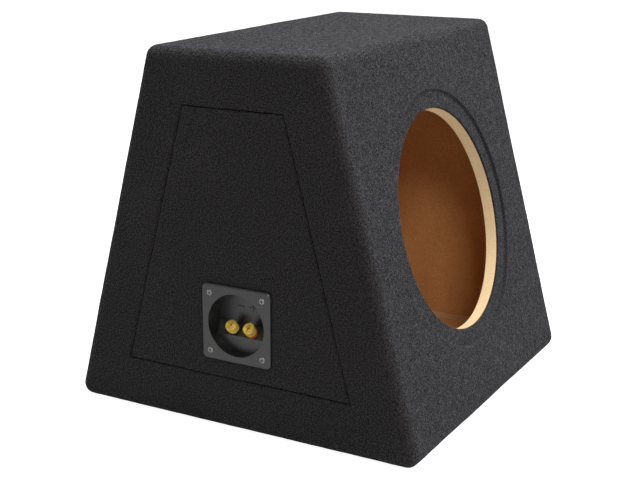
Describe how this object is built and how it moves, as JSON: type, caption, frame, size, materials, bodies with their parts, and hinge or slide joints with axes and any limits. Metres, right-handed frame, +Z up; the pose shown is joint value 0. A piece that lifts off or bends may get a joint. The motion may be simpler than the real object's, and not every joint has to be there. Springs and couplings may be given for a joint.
{
  "type": "car subwoofer enclosure",
  "caption": "Carpeted sealed loudspeaker box with slanted front and back, a round driver cut-out in a flange recess, and a square side terminal cup with screw posts.",
  "frame": {"origin": "centre of the carpeted base, on the floor, midway between the two side faces and between the base edges of front and back", "axes": "+Z up, -Y out of the slanted front baffle, -X out of the terminal side"},
  "size_m": [0.4034, 0.3928, 0.38],
  "materials": {
    "raw_mdf": "sanded fibreboard, tan where freshly cut",
    "sealant": "dried bead, tooled flat",
    "carpet": "needle-punched felt carpet, charcoal black",
    "terminal_plastic": "fine moulded texture",
    "gasket_foam": "closed-cell foam",
    "screw_steel": "dark zinc",
    "brad_steel": "bright wire",
    "gold_plate": "polished gold plate",
    "red_ring_plastic": "moulded",
    "black_ring_plastic": "moulded",
    "washer_fibre": "vulcanised fibre",
    "tinned_brass": "tin plate",
    "zinc_nut": "zinc plate",
    "red_lead_sleeve": "soft PVC",
    "black_lead_sleeve": "soft PVC"
  },
  "bodies": {
    "enclosure": {"front_baffle": "raw_mdf", "back_panel": "raw_mdf", "top_panel": "raw_mdf", "bottom_panel": "raw_mdf", "terminal_side_panel": "raw_mdf", "plain_side_panel": "raw_mdf", "assembly_brads": "brad_steel", "sealing_bead": "sealant", "carpet_wrap": "carpet", "carpet_inlay_terminal_side": "carpet", "carpet_inlay_plain_side": "carpet", "terminal_cup": "terminal_plastic", "terminal_gasket": "gasket_foam", "terminal_screws": "screw_steel", "red_insulating_ring": "red_ring_plastic", "red_post_stud": "gold_plate", "red_inner_washer": "washer_fibre", "red_blade_tag": "tinned_brass", "red_hex_nut": "zinc_nut", "red_lead": "red_lead_sleeve", "red_receptacles": "tinned_brass", "black_insulating_ring": "black_ring_plastic", "black_post_stud": "gold_plate", "black_inner_washer": "washer_fibre", "black_blade_tag": "tinned_brass", "black_hex_nut": "zinc_nut", "black_lead": "black_lead_sleeve", "black_receptacles": "tinned_brass"},
    "red_washer": {"red_clamp_washer": "gold_plate"},
    "black_washer": {"black_clamp_washer": "gold_plate"},
    "red_nut": {"red_thumb_nut": "gold_plate"},
    "black_nut": {"black_thumb_nut": "gold_plate"}
  },
  "joints": [
    {"name": "red_nut_travel", "type": "slide", "parent": "enclosure", "child": "red_washer", "axis": [-0.7071, 0, 0.7071], "range_m": [0, 0.0032]},
    {"name": "red_nut_turn", "type": "hinge", "parent": "red_washer", "child": "red_nut", "pos_m": [-0.1932, -0.01455, 0.1078], "axis": [-0.7071, 0, 0.7071], "range_deg": [0, 1440]},
    {"name": "black_nut_travel", "type": "slide", "parent": "enclosure", "child": "black_washer", "axis": [-0.7071, 0, 0.7071], "range_m": [0, 0.0032]},
    {"name": "black_nut_turn", "type": "hinge", "parent": "black_washer", "child": "black_nut", "pos_m": [-0.1932, 0.00575, 0.1078], "axis": [-0.7071, 0, 0.7071], "range_deg": [0, 1440]}
  ],
  "couplings": [
    {"joint": "red_nut_travel", "follows": "red_nut_turn", "m_per_rad": 0.00012732},
    {"joint": "black_nut_travel", "follows": "black_nut_turn", "m_per_rad": 0.00012732}
  ]
}
